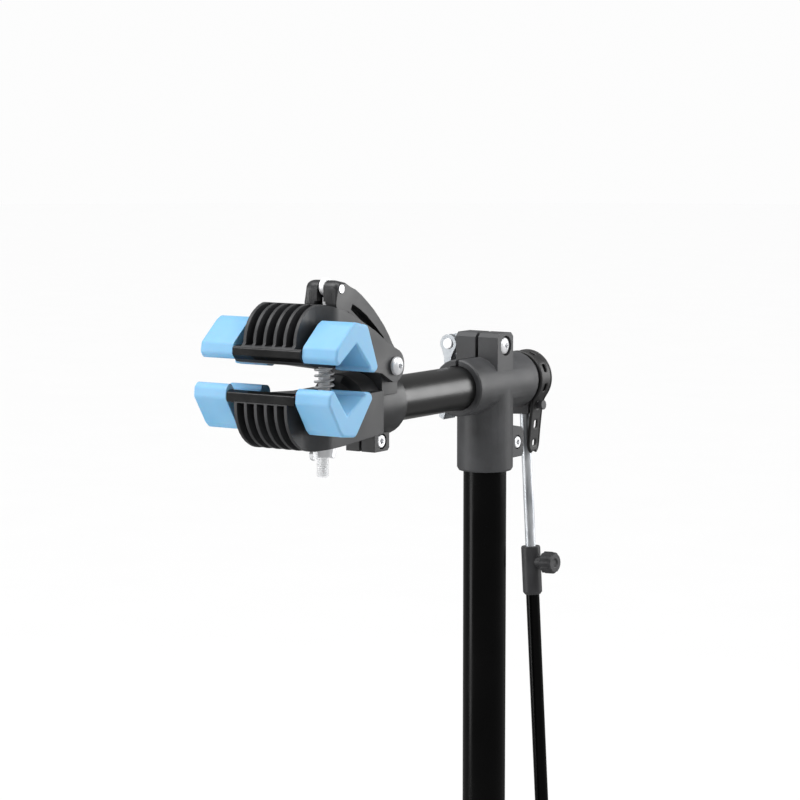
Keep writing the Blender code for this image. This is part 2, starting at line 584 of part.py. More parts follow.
def build_upper_jaw():
    knuckle = (JAW_HINGE.y, JAW_HINGE.z)
    knuckle_r = 11.5 * MM
    outline = arc(knuckle, knuckle_r, 60, -100, 12)
    outline += [(-178 * MM, 24 * MM), (-222 * MM, 31 * MM), (-262 * MM, 35.5 * MM), (-269.5 * MM, 36.8 * MM),
                (-273.5 * MM, 42 * MM), (-273.5 * MM, 46 * MM)]
    outline += arc(UPPER_NOSE, UPPER_NOSE_R, 178, 84, 12)
    outline += [(-221 * MM, 69.3 * MM), (-203.6 * MM, 62 * MM), (-185.7 * MM, 53.5 * MM)]
    outline.append((-170 * MM, 44 * MM))
    jaw = prism(outline, "X", -WALL_X, WALL_X)
    cut(jaw, *nose_flanks(UPPER_NOSE[0], 47.3 * MM, 110 * MM))
    inner_x = WALL_X - WALL_T
    saddle_z = 65.8 * MM
    rear_room = [(-192 * MM, 10 * MM), (-120 * MM, 10 * MM), (-120 * MM, 70 * MM), (-192 * MM, 70 * MM)]
    top_room = [(-215 * MM, 90 * MM), (-226 * MM, 66 * MM), (-218 * MM, saddle_z), (-196 * MM, saddle_z),
                (-190 * MM, 40 * MM), (-120 * MM, 40 * MM), (-120 * MM, 90 * MM)]
    saddle = [(-216 * MM, 58 * MM), (-199 * MM, 50 * MM), (-199 * MM, 62 * MM), (-203 * MM, saddle_z),
              (-216 * MM, saddle_z)]
    cut(jaw, prism(top_room, "X", -inner_x, inner_x), prism(rear_room, "X", -inner_x, inner_x))
    join(jaw, prism(saddle, "X", -16 * MM, 16 * MM))
    for side in (-1, 1):
        join(jaw, pad_peg(UPPER_PAD_CENTRE, UPPER_PAD_TILT, side, 1))
    slot_y = rod_axis_point(40 * MM).y
    slot = ROD_R + 0.8 * MM
    spring_seat = cylinder(SPRING_SEAT_R, (0, 0, SPRING_HIGH - 25 * MM), (0, 0, SPRING_HIGH))
    cut(jaw, *fin_gaps(48 * MM, 110 * MM))
    cut(jaw,
        box(-slot, slot, slot_y - 10 * MM, slot_y + 19 * MM, 0, 110 * MM),
        transformed(spring_seat, rod_matrix()),
        cylinder(3.5 * MM, (-40 * MM, *knuckle), (40 * MM, *knuckle), SMALL_SIDES))
    finish_node(jaw, "upper_jaw", "dark_plastic", JAW_HINGE, frame=HEAD)


def side_box(side, inner_x, outer_x, half, mid):
    """Square bar along X on one side of the jaw, centred on mid in the pad's own height."""
    return box(min(side * inner_x, side * outer_x), max(side * inner_x, side * outer_x),
               -half, half, mid - half, mid + half)


def pad_peg(centre, tilt, side, up):
    """Square peg on a jaw's side that the rubber pad slips over."""
    peg = side_box(side, PEG_INNER_X, PEG_OUTER_X, PEG_HALF, PEG_MID * up)
    return transformed(peg, pad_matrix(centre, tilt))


def pad_matrix(centre, tilt):
    """Place a pad so that its mouth lands rise toward the front by the tilt."""
    return Matrix.Translation(centre) @ Matrix.Rotation(-tilt, 4, "X")


def build_pads():
    """Block with a V groove in its mouth face, the outer face narrower than the mouth."""
    back = PAD_HEIGHT
    for level, centre, tilt, up in (("upper", UPPER_PAD_CENTRE, UPPER_PAD_TILT, 1),
                                    ("lower", LOWER_PAD_CENTRE, LOWER_PAD_TILT, -1)):
        outline = [(-PAD_HALF_DEPTH + 3 * MM, 0), (GROOVE_FRONT, 0), (GROOVE_MID, GROOVE_DEPTH),
                   (GROOVE_REAR, GROOVE_STEP), (GROOVE_REAR, 0), (PAD_HALF_DEPTH - 3 * MM, 0),
                   (PAD_HALF_DEPTH, 4 * MM),
                   (PAD_BACK_HALF + 2 * MM, back - 2 * MM), (PAD_BACK_HALF, back), (-PAD_BACK_HALF, back),
                   (-PAD_BACK_HALF - 4 * MM, back - 3 * MM), (-PAD_HALF_DEPTH, 10 * MM),
                   (-PAD_HALF_DEPTH, 3 * MM)]
        outline = [(y, up * w) for y, w in outline]
        for side, word in ((-1, "left"), (1, "right")):
            pad = prism(outline, "X", min(side * PAD_INNER_X, side * PAD_OUTER_X),
                        max(side * PAD_INNER_X, side * PAD_OUTER_X))
            cut(pad, side_box(side, PEG_INNER_X, PEG_OUTER_X + GAP, PEG_HALF + GAP, PEG_MID * up))
            transformed(pad, pad_matrix(centre, tilt))
            finish_node(pad, "pad_" + level + "_" + word, "blue_rubber", centre, frame=HEAD)


def build_jaw_hinge():
    x = WALL_X + GAP
    far_end = (-x - 6 * MM, JAW_HINGE.y, JAW_HINGE.z)
    bolt = domed_bolt(3.2 * MM, 2 * x + 6 * MM, 6.3 * MM, 4.2 * MM, far_end, (1, 0, 0))
    finish_node(bolt, "jaw_hinge_bolt", "zinc", JAW_HINGE, frame=HEAD)
    nut = hex_nut(6 * MM, 3.2 * MM, 5 * MM, (-x, JAW_HINGE.y, JAW_HINGE.z), (-1, 0, 0))
    finish_node(nut, "jaw_hinge_nut", "zinc", JAW_HINGE, frame=HEAD)


def rod_matrix():
    """Place a piece built on the Z axis under the origin onto the clamp rod's axis."""
    return Matrix.Translation(CAM_PIN) @ Matrix.Rotation(-ROD_LEAN, 4, "X")


def build_clamp_rod():
    eye_half = ROD_EYE_HALF
    eye_r = 7 * MM
    rod = cylinder(ROD_R, (0, 0, -ROD_LENGTH), (0, 0, -6 * MM))
    cut(rod, box(-9 * MM, -eye_half, -9 * MM, 9 * MM, -22 * MM, 9 * MM),
        box(eye_half, 9 * MM, -9 * MM, 9 * MM, -22 * MM, 9 * MM))
    join(rod, cylinder(eye_r, (-eye_half, 0, 0), (eye_half, 0, 0)))
    cut(rod, cylinder(3.3 * MM, (-9 * MM, 0, 0), (9 * MM, 0, 0), SMALL_SIDES))
    transformed(rod, rod_matrix())
    finish_node(rod, "clamp_rod", "zinc", CAM_PIN, frame=HEAD)
    pin_half = Vector((13.4 * MM, 0, 0))
    pin = cylinder(3 * MM, CAM_PIN - pin_half, CAM_PIN + pin_half, SMALL_SIDES)
    finish_node(pin, "cam_pin", "zinc", CAM_PIN, frame=HEAD)


def build_clamp_spring():
    """Compression spring round the rod between the two jaws."""
    wire_r = 0.8 * MM
    coil_r = 6.2 * MM
    turns = 6
    low = SPRING_LOW + wire_r + GAP
    high = SPRING_HIGH - wire_r - GAP
    steps_per_turn = 12
    ring = 5
    bm = bmesh.new()
    rings = []
    for step in range(turns * steps_per_turn + 1):
        angle = math.tau * step / steps_per_turn
        z = low + (high - low) * step / (turns * steps_per_turn)
        rings.append([bm.verts.new(((coil_r + wire_r * math.cos(t)) * math.cos(angle),
                                    (coil_r + wire_r * math.cos(t)) * math.sin(angle),
                                    z + wire_r * math.sin(t)))
                      for t in (math.tau * k / ring for k in range(ring))])
    for near, far in zip(rings, rings[1:]):
        for k in range(ring):
            bm.faces.new((near[k], near[(k + 1) % ring], far[(k + 1) % ring], far[k]))
    bm.faces.new(list(reversed(rings[0])))
    bm.faces.new(rings[-1])
    spring = transformed(object_from(bm), rod_matrix())
    finish_node(spring, "clamp_spring", "zinc", CAM_PIN, frame=HEAD)


def build_rocker_and_nut():
    """Half-round washer in the groove under the lower jaw, and the wing nut on the rod."""
    seat = -103 * MM
    outline = [*arc((0, seat), 9.4 * MM, 160, 20, 12), (9 * MM, seat - 4 * MM), (-9 * MM, seat - 4 * MM)]
    washer = prism(outline, "X", -10 * MM, 10 * MM)
    cut(washer, cylinder(ROD_R + 0.4 * MM, (0, 0, -150 * MM), (0, 0, -50 * MM)))
    transformed(washer, rod_matrix())
    finish_node(washer, "rocker_washer", "black_plastic", rod_axis_point(-seat), frame=HEAD)
    top = seat - 4 * MM - GAP
    bore = ROD_R + 0.25 * MM
    nut = turned([(bore, top), (7 * MM, top), (6.2 * MM, top - 7 * MM), (bore, top - 7 * MM)], SMALL_SIDES)
    for side in (-1, 1):
        wing = [(5.6, 0.5), (8.5, 0.4), (12.6, 1.2), (14.2, 4), (13.6, 7.4), (11, 8.8), (8, 7.2), (5.6, 6.4)]
        wing = [(side * reach * MM, top - drop * MM) for reach, drop in wing]
        join(nut, prism(wing, "X", -1.4 * MM, 1.4 * MM))
    transformed(nut, rod_matrix())
    finish_node(nut, "wing_nut", "zinc", rod_axis_point(-top), frame=HEAD)


def build_cam_lever():
    """Forked cam lever, shown closed: its handle lies back over the jaw toward the arm."""
    half = 13 * MM
    front = 6.4 * MM
    p = CAM_PIN
    bottom = [(8, -16), (20, -24), (34, -33.5), (46, -43), (54, -49.5), (62, -52.5), (70, -51.5)]
    top = [(73, -49), (70.7, -46.8), (65, -45), (61.5, -41), (57.3, -35.1), (51.5, -28.2), (45, -21.9),
           (38.5, -16), (31.3, -10.6), (24, -5.5), (17, -1.4), (12.5, 0.8), (7, 4.2)]
    pocket = [(13, -11), (21, -14.5), (29.7, -19.5), (41, -28.1), (50.7, -36), (52, -44.5), (46, -39.5),
              (34, -30), (20, -20.5), (11, -14.5)]
    outline = arc((p.y - front + 6.5 * MM, p.z - 9.5 * MM), 6.5 * MM, 180, 270, 6)
    outline += from_pin(bottom)
    outline += from_pin(top)
    outline += arc((p.y - front + 6.2 * MM, p.z - 0.6 * MM), 6.2 * MM, 70, 180, 8)
    lever = prism(outline, "X", -half, half)
    for side in (-1, 1):
        low = min(side * 7 * MM, side * 20 * MM)
        high = max(side * 7 * MM, side * 20 * MM)
        cut(lever, prism(from_pin(pocket), "X", low, high))
    slot = ROD_EYE_HALF + 0.4 * MM
    rod_room = ROD_R + 0.6 * MM
    cut(lever, box(-rod_room, rod_room, p.y - 30 * MM, p.y + 10 * MM, p.z - 30 * MM, p.z - 8.5 * MM))
    cut(lever, box(-slot, slot, p.y - 30 * MM, p.y + 10 * MM, p.z - 30 * MM, p.z + 30 * MM))
    cut(lever, cylinder(3.3 * MM, (-30 * MM, p.y, p.z), (30 * MM, p.y, p.z), SMALL_SIDES))
    finish_node(lever, "cam_lever", "dark_plastic", CAM_PIN, frame=HEAD)


def from_pin(points):
    """Turn (Y, Z) millimetres from the cam pin into the head frame."""
    return [(CAM_PIN.y + y * MM, CAM_PIN.z + z * MM) for y, z in points]


# ---------------------------------------------------------------- handlebar holder

def bar_matrix():
    """Lean of the hanging bar about the arm axis."""
    return turned_about((0, 0, 0), -BAR_LEAN, "Y")


def saddle_block(seat_r, centre_z):
    """Block under a tube of radius seat_r, with a peg at +X that holds the strap's end."""
    seat_z = centre_z - seat_r
    block = box(-SADDLE_HALF_X, SADDLE_HALF_X, BAR_Y - STRAP_HALF_WIDTH, BAR_Y + STRAP_HALF_WIDTH,
                seat_z - SADDLE_HEIGHT, seat_z + 5 * MM)
    peg = turned([(0, 6 * MM), (2.2 * MM, 6 * MM), (2.2 * MM, 14.2 * MM), (3.6 * MM, 14.2 * MM),
                  (3.6 * MM, 17 * MM), (0, 17 * MM)], 12, (0, BAR_Y, seat_z - STRAP_PEG_DROP), (1, 0, 0))
    join(block, peg)
    return cut(block, cylinder(seat_r + GAP, (0, BAR_Y - 20 * MM, centre_z), (0, BAR_Y + 20 * MM, centre_z)))


def band(path, thickness):
    """Closed outline of a strip of even thickness whose middle follows an open path."""
    path = [Vector(point) for point in path]
    near = []
    far = []
    for index, point in enumerate(path):
        along = path[min(index + 1, len(path) - 1)] - path[max(index - 1, 0)]
        side = Vector((-along.y, along.x)).normalized() * thickness / 2
        near.append(tuple(point + side))
        far.append(tuple(point - side))
    return near + far[::-1]


def strap_path(seat_r, centre_z, post_r):
    """Middle line in XZ of a strap that starts at the saddle's left side, passes over the
    tube and hangs down past the peg on the right, beside a post of radius post_r."""
    seat_z = centre_z - seat_r
    ring_r = seat_r + GAP + STRAP_T / 2
    side_x = SADDLE_HALF_X + GAP + STRAP_T / 2
    least_x = post_r + 2 * GAP + STRAP_T / 2
    tail = [(12.8, 2.6), (10.9, -2.2), (9.6, -8.7), (7.4, -22), (6, -32), (5.5, -39)]
    start = [(-side_x, seat_z - 7 * MM), (-side_x - 1.4 * MM, seat_z - 2 * MM)]
    start.append((-12.8 * MM, seat_z + 2.6 * MM))
    ring = arc((0, centre_z), ring_r, 218, -38, 22)
    return start + ring + [(max(x * MM, least_x), seat_z + rise * MM) for x, rise in tail]


def build_strap(name, seat_r, centre_z, post_r, matrix, origin):
    outline = band(strap_path(seat_r, centre_z, post_r), STRAP_T)
    strap = prism(outline, "Y", BAR_Y - STRAP_HALF_WIDTH, BAR_Y + STRAP_HALF_WIDTH)
    half_width = 1.7 * MM
    half_length = 3 * MM
    for degrees in range(-13, 180, 46):
        hole = box(seat_r - 3 * MM, seat_r + 8 * MM, BAR_Y - half_width, BAR_Y + half_width,
                   -half_length, half_length)
        turn = Matrix.Rotation(-math.radians(degrees), 4, "Y")
        cut(strap, transformed(hole, Matrix.Translation((0, 0, centre_z)) @ turn))
    peg_z = centre_z - seat_r - STRAP_PEG_DROP
    for drop, half in ((0, 2.8 * MM), (12.5 * MM, half_width), (26 * MM, half_width)):
        cut(strap, box(1 * MM, 19 * MM, BAR_Y - half, BAR_Y + half, peg_z - drop - half, peg_z - drop + half))
    transformed(strap, matrix)
    finish_node(strap, name, "black_rubber", origin, frame=HEAD)


def build_bar():
    lean = bar_matrix()
    rod_r = 3.9 * MM
    rod_top = -22.3 * MM
    rod_low = -330 * MM
    tube_r = 5.1 * MM
    tube_top = -151 * MM
    tube_low = -500 * MM
    tube_bore = 4.3 * MM
    centre = Vector((0, BAR_Y, 0))
    saddle = saddle_block(STRAP_SEAT_R, 0)
    cut(saddle, cylinder(rod_r + GAP, (0, BAR_Y, -60 * MM), (0, BAR_Y, rod_top + GAP), SMALL_SIDES))
    finish_node(transformed(saddle, lean), "bar_saddle", "black_plastic", centre, frame=HEAD)
    build_strap("bar_strap", STRAP_SEAT_R, 0, rod_r, lean, centre)
    rod = cylinder(rod_r, (0, BAR_Y, rod_low), (0, BAR_Y, rod_top), SMALL_SIDES)
    finish_node(transformed(rod, lean), "bar_rod", "zinc", lean @ Vector((0, BAR_Y, rod_top)), frame=HEAD)
    build_bar_collar(lean, -128.7 * MM, tube_top, rod_r, tube_r)
    tube = pipe(tube_r, tube_bore, tube_low, tube_top, (0, BAR_Y, 0), (0, 0, 1), SMALL_SIDES)
    tube_origin = lean @ Vector((0, BAR_Y, tube_top))
    finish_node(transformed(tube, lean), "bar_tube", "gloss_black", tube_origin, frame=HEAD)
    end_seat_r = 16 * MM
    end_centre = tube_low - 4 * MM - end_seat_r
    flip = turned_about((0, BAR_Y, end_centre), math.pi, "Y")
    end_block = saddle_block(end_seat_r, end_centre)
    transformed(end_block, lean @ flip)
    socket = cylinder(tube_r + GAP, (0, BAR_Y, tube_low - GAP), (0, BAR_Y, tube_low + 40 * MM), SMALL_SIDES)
    cut(end_block, transformed(socket, lean))
    finish_node(end_block, "bar_end_saddle", "black_plastic", tube_origin, frame=HEAD)
    build_strap("bar_end_strap", end_seat_r, end_centre, tube_r, lean @ flip, tube_origin)


def build_bar_collar(lean, top, tube_top, rod_r, tube_r):
    """Collar pressed on the tube's top, with a thumbscrew that bears on the rod."""
    low = top - 37 * MM
    outer = 7.4 * MM
    bore = rod_r + GAP
    step = tube_top + GAP
    collar = turned([(bore, top), (outer - 0.6 * MM, top), (outer, top - 1 * MM), (outer, low + 2 * MM),
                     (outer - 1.5 * MM, low), (tube_r + GAP, low), (tube_r + GAP, step),
                     (bore, step)], SMALL_SIDES, (0, BAR_Y, 0))
    aim = Vector((math.cos(math.radians(5)), -math.sin(math.radians(5)), 0))
    base = Vector((0, BAR_Y, top - 12 * MM))
    join(collar, cylinder(4.6 * MM, base + aim * 6 * MM, base + aim * 11 * MM, 16))
    cut(collar, cylinder(2.7 * MM, base + aim * 3 * MM, base + aim * 14 * MM, 16))
    collar_origin = lean @ Vector((0, BAR_Y, tube_top))
    finish_node(transformed(collar, lean), "bar_collar", "black_plastic", collar_origin, frame=HEAD)
    screw = turned([(0, 4.4 * MM), (2.4 * MM, 4.4 * MM), (2.4 * MM, 12 * MM), (7.4 * MM, 12 * MM),
                    (8.4 * MM, 13 * MM), (8.4 * MM, 21 * MM), (7.4 * MM, 22.4 * MM), (3 * MM, 22.4 * MM),
                    (2 * MM, 21.4 * MM), (0, 21.4 * MM)], SMALL_SIDES, base, aim)
    finish_node(transformed(screw, lean), "bar_screw", "black_plastic", lean @ base, frame=HEAD)


# ---------------------------------------------------------------- whole stand

def main():
    remove_scene_objects()
    build_base_hub()
    build_leg_collar()
    for index in range(LEG_COUNT):
        build_leg(index)
    build_masts()
    build_mast_collar()
    build_tee()
    build_arm()
    build_lower_jaw()
    build_upper_jaw()
    build_pads()
    build_jaw_hinge()
    build_clamp_rod()
    build_clamp_spring()
    build_rocker_and_nut()
    build_cam_lever()
    build_bar()


main()
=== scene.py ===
"""Looks of the bike repair stand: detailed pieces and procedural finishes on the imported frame."""

import json
import math

import bmesh
import bpy
from mathutils import Matrix, Vector


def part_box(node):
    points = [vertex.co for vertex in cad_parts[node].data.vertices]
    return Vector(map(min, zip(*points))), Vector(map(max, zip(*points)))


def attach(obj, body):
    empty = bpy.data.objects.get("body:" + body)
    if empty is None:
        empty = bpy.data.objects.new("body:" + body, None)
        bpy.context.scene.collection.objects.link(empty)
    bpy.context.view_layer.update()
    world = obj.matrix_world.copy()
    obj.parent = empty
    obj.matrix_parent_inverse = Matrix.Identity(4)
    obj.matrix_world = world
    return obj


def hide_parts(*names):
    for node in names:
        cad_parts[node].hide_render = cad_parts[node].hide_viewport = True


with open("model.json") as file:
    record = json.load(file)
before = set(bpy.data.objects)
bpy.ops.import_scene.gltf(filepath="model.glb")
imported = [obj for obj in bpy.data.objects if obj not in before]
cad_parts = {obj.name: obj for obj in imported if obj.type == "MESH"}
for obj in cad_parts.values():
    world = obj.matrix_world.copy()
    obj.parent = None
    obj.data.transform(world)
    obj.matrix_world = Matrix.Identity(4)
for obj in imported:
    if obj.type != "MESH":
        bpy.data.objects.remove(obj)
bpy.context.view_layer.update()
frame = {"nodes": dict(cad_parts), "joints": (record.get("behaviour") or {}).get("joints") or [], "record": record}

MM = 0.001
NODES = frame["nodes"]
JOINTS = {joint["name"]: joint for joint in frame["joints"]}
BODY_OF = {node: body for body, nodes in frame["record"]["behaviour"]["bodies"].items() for node in nodes}
SLOT_OF = {part["node"]: part["material_slot"] for part in frame["record"]["subparts"]}


def pivot(joint):
    """Point a joint turns about or slides from."""
    return Vector(JOINTS[joint]["pos_m"])


def line_of(joint):
    """Unit direction of a joint's axis."""
    return Vector(JOINTS[joint]["axis"]).normalized()


HEAD = pivot("arm_rotate")
CAM_PIN = pivot("rod_tilt")
ROD_LINE = line_of("rocker_slide")
BAR_LINE = line_of("bar_telescope")
BAR_TOP = pivot("bar_twist")
BAR_LEAN = math.atan2(BAR_LINE.x, -BAR_LINE.z)

ROUND = 64
SHARP_ANGLE = math.radians(35)
FLAT_ANGLE = math.radians(0.5)
WELD_GAP = 0.002 * MM
FLOOR_R = 40
FLOOR_DROP = 0.5 * MM
DRAWN = (1, 1, 0.15)

TUBE_WALL = 2 * MM
LOWER_MAST_WALL = 2.4 * MM
BAR_TUBE_WALL = 0.8 * MM
ROD_R = 4.2 * MM
ROD_NECK_R = 2.1 * MM
ROD_EYE_HALF = 2.1 * MM
ROD_EYE_R = 6 * MM
PIN_ROOM_R = 4.4 * MM
BOLT_HEAD_R = 6.3 * MM
THREAD_PITCH = 1.25 * MM
THREAD_DEPTH = 0.55 * MM

STRAP_HALF_WIDTH = 8 * MM
STRAP_T = 2.2 * MM
STRAP_GAP = 0.3 * MM
STRAP_RIM_R = 1.35 * MM
STRAP_STEP = 1.5 * MM
STRAP_COLUMNS = [-8, -6.4, -4, -1.7, 1.7, 4, 6.4, 8]
STRAP_HOLE_COLUMN = 3
STRAP_HOLE_PITCH = 10
STRAP_HOLE_FIRST = 3
STRAP_HOLE_LENGTH = 4
STRAP_WHOLE_ROWS = 4
SADDLE_HALF_X = 7.8 * MM
TEE_SEAT_R = 18.3 * MM
END_SEAT_R = 16 * MM
BAR_ROD_POST_R = 3.9 * MM
BAR_TUBE_POST_R = 5.1 * MM
BAR_DROP = 520 * MM


# ---------------------------------------------------------------- finishes

def node_material(name):
    """Empty Principled material with its node tree, shader and object coordinates."""
    material = bpy.data.materials.new(name)
    material.use_nodes = True
    tree = material.node_tree
    shader = tree.nodes["Principled BSDF"]
    coordinates = tree.nodes.new("ShaderNodeTexCoord").outputs["Object"]
    return material, tree, shader, coordinates


def noise(tree, vector, scale, detail=4.0, stretch=None):
    """Noise factor of the given scale, drawn out along an axis where stretch says so."""
    if stretch:
        mapping = tree.nodes.new("ShaderNodeMapping")
        mapping.inputs["Scale"].default_value = stretch
        tree.links.new(vector, mapping.inputs["Vector"])
        vector = mapping.outputs["Vector"]
    texture = tree.nodes.new("ShaderNodeTexNoise")
    texture.inputs["Scale"].default_value = scale
    texture.inputs["Detail"].default_value = detail
    tree.links.new(vector, texture.inputs["Vector"])
    return texture.outputs["Fac"]


def spread(tree, factor, low, high, low_in=0.3, high_in=0.7):
    """The factor's middle range stretched onto low..high."""
    node = tree.nodes.new("ShaderNodeMapRange")
    node.inputs["From Min"].default_value = low_in
    node.inputs["From Max"].default_value = high_in
    node.inputs["To Min"].default_value = low
    node.inputs["To Max"].default_value = high
    tree.links.new(factor, node.inputs["Value"])
    return node.outputs["Result"]


def mixed(tree, factor, first, second):
    """Two colours mixed by a factor."""
    node = tree.nodes.new("ShaderNodeMix")
    node.data_type = "RGBA"
    tree.links.new(factor, node.inputs["Factor"])
    node.inputs["A"].default_value = (*first, 1)
    node.inputs["B"].default_value = (*second, 1)
    return node.outputs["Result"]


def relief(tree, shader, height, distance, edge, strength=1.0):
    """Bump over softly rounded edges."""
    bevel = tree.nodes.new("ShaderNodeBevel")
    bevel.samples = 4
    bevel.inputs["Radius"].default_value = edge
    bump = tree.nodes.new("ShaderNodeBump")
    bump.inputs["Strength"].default_value = strength
    bump.inputs["Distance"].default_value = distance
    tree.links.new(height, bump.inputs["Height"])
    tree.links.new(bevel.outputs["Normal"], bump.inputs["Normal"])
    tree.links.new(bump.outputs["Normal"], shader.inputs["Normal"])


def powder_coat(name, dark, light, rough_low, rough_high, mirror):
    """Black coat with a slight orange peel and uneven handling marks."""
    material, tree, shader, at = node_material(name)
    marks = noise(tree, at, 28, 6)
    shade = mixed(tree, marks, (dark, dark, dark), (light, light, light))
    tree.links.new(shade, shader.inputs["Base Color"])
    tree.links.new(spread(tree, marks, rough_low, rough_high), shader.inputs["Roughness"])
    shader.inputs["Specular IOR Level"].default_value = mirror
    relief(tree, shader, noise(tree, at, 900, 2), 0.02 * MM, 0.4 * MM, 0.35)
    return material


def moulded(name, dark, light, rough_low, rough_high, grain=0.05, mirror=0.3):
    """Moulded plastic with a spark-eroded grain and slow shade changes along the flow."""
    material, tree, shader, at = node_material(name)
    flow = noise(tree, at, 45, 7)
    tree.links.new(mixed(tree, spread(tree, flow, 0, 1), dark, light), shader.inputs["Base Color"])
    tree.links.new(spread(tree, flow, rough_low, rough_high), shader.inputs["Roughness"])
    shader.inputs["Specular IOR Level"].default_value = mirror
    relief(tree, shader, noise(tree, at, 2600, 3), grain * MM, 0.6 * MM, 0.55)
    return material


def soft_rubber(name, dark, light, scatter, grain=0.05):
    """Soft rubber whose colour deepens in patches, with light scattered just under the skin."""
    material, tree, shader, at = node_material(name)
    patches = noise(tree, at, 35, 5)
    tree.links.new(mixed(tree, spread(tree, patches, 0, 1), dark, light), shader.inputs["Base Color"])
    tree.links.new(spread(tree, patches, 0.42, 0.58), shader.inputs["Roughness"])
    shader.inputs["Subsurface Weight"].default_value = scatter
    shader.inputs["Subsurface Scale"].default_value = 1.5 * MM
    relief(tree, shader, noise(tree, at, 1700, 3), grain * MM, 0.9 * MM, 0.5)
    return material


def plated(name, dark, light, rough_low, rough_high, stretch=None, metal=1.0):
    """Zinc plate or cast metal: cloudy tone over a fine drawn or cast surface."""
    material, tree, shader, at = node_material(name)
    clouds = noise(tree, at, 120, 6, stretch)
    tree.links.new(mixed(tree, spread(tree, clouds, 0, 1), dark, light), shader.inputs["Base Color"])
    tree.links.new(spread(tree, clouds, rough_low, rough_high), shader.inputs["Roughness"])
    shader.inputs["Metallic"].default_value = metal
    relief(tree, shader, noise(tree, at, 1500, 2, stretch), 0.03 * MM, 0.35 * MM, 0.4)
    return material


def make_finishes():
    """Every finish by its short name, the record's material slots among them."""
    return {
        "gloss_black": powder_coat("gloss_black_coat", 0.0006, 0.002, 0.18, 0.28, mirror=0.1),
        # Arm copy of the black coat: satin from its roughness and specular level, and its lighter base colour is
        # painted light on the arm.
        "satin_lit_black": powder_coat("satin_lit_black_coat", 0.003, 0.007, 0.27, 0.36, mirror=0.55),
        "dark_plastic": moulded("grey_black_moulding",
                                (0.013, 0.0135, 0.0142), (0.03, 0.0305, 0.0325), 0.34, 0.5, mirror=0.42),
        "tee_plastic": moulded("tee_moulding",
                               (0.022, 0.0225, 0.0235), (0.046, 0.047, 0.05), 0.44, 0.58,
                               grain=0.09, mirror=0.45),
        "lip_plastic": moulded("polished_lip",
                               (0.003, 0.003, 0.003), (0.006, 0.006, 0.006), 0.12, 0.22,
                               grain=0.01, mirror=0.5),
        "black_plastic": moulded("black_moulding", (0.026, 0.026, 0.0275), (0.05, 0.05, 0.053), 0.36, 0.52),
        "blue_rubber": soft_rubber("blue_pad_rubber",
                                   (0.15, 0.365, 0.57), (0.195, 0.41, 0.615), scatter=0.3),
        "black_rubber": soft_rubber("black_rubber",
                                    (0.006, 0.006, 0.006), (0.015, 0.015, 0.015), scatter=0.0),
        "zinc": plated("zinc_plate",
                       (0.66, 0.67, 0.69), (0.9, 0.9, 0.91), 0.26, 0.42, stretch=DRAWN, metal=0.6),
        # Lighter, less metallic copy of the zinc plate for the clamp rod and spring: painted light for the bright
        # light these parts catch.
        "painted_lit_zinc": plated("painted_lit_zinc_plate",
                              (0.84, 0.85, 0.86), (0.97, 0.97, 0.98), 0.3, 0.45, stretch=DRAWN, metal=0.2),
        "dull_zinc": plated("dull_zinc_plate",
                            (0.5, 0.53, 0.56), (0.85, 0.87, 0.89), 0.42, 0.62, stretch=(1, 1, 0.3)),
        "grey_metal": plated("cast_grey_metal", (0.3, 0.32, 0.34), (0.46, 0.48, 0.5), 0.34, 0.5),
    }


# ---------------------------------------------------------------- mesh helpers

def flat_where_sharp(bm):
    """Smooth faces that part at edges sharper than the limit."""
    for face in bm.faces:
        face.smooth = True
    for edge in bm.edges:
        edge.smooth = len(edge.link_faces) == 2 and edge.calc_face_angle(0) < SHARP_ANGLE


def piece_from(bm, name, node, finish, slot=None, body=None):
    """New piece that stands for a CAD node, or only rides with it where slot is given."""
    bmesh.ops.recalc_face_normals(bm, faces=bm.faces)
    flat_where_sharp(bm)
    mesh = bpy.data.meshes.new(name)
    bm.to_mesh(mesh)
    bm.free()
    piece = bpy.data.objects.new(name, mesh)
    bpy.context.scene.collection.objects.link(piece)
    mesh.materials.append(FINISHES[finish])
    weighted = piece.modifiers.new("face_weighted_normals", "WEIGHTED_NORMAL")
    weighted.keep_sharp = True
    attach(piece, body or BODY_OF[node])
    if slot is None:
        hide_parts(node)
    return piece


def frame_along(start, direction):
    """Placement with its Z along a direction."""
    return Matrix.Translation(start) @ Vector(direction).to_track_quat("Z", "Y").to_matrix().to_4x4()


def lathe(bm, rings, start, direction, hollow=False, segments=ROUND):
    """Turn (distance, radius) rings about a line; a radius may be a function of the angle."""
    place = frame_along(start, direction)
    loops = []
    for along, radius in rings:
        loop = []
        for k in range(segments):
            angle = math.tau * k / segments
            r = radius(angle) if callable(radius) else radius
            loop.append(bm.verts.new(place @ Vector((r * math.cos(angle), r * math.sin(angle), along))))
        loops.append(loop)
    pairs = list(zip(loops, loops[1:]))
    if hollow:
        pairs.append((loops[-1], loops[0]))
    for near, far in pairs:
        for k in range(segments):
            after = (k + 1) % segments
            bm.faces.new((near[k], near[after], far[after], far[k]))
    if not hollow:
        bm.faces.new(loops[0][::-1])
        bm.faces.new(loops[-1])


def sweep(bm, path, radius, sides=12):
    """Round cord of even radius along an open path."""
    loops = []
    normal = None
    for index, point in enumerate(path):
        along = (path[min(index + 1, len(path) - 1)] - path[max(index - 1, 0)]).normalized()
        normal = normal or along.orthogonal()
        normal = (normal - along * normal.dot(along)).normalized()
        across = along.cross(normal)
        loops.append([bm.verts.new(point + radius * (math.cos(t) * normal + math.sin(t) * across))
                      for t in (math.tau * k / sides for k in range(sides))])
    for near, far in zip(loops, loops[1:]):
        for k in range(sides):
            after = (k + 1) % sides
            bm.faces.new((near[k], near[after], far[after], far[k]))
    bm.faces.new(loops[0][::-1])
    bm.faces.new(loops[-1])


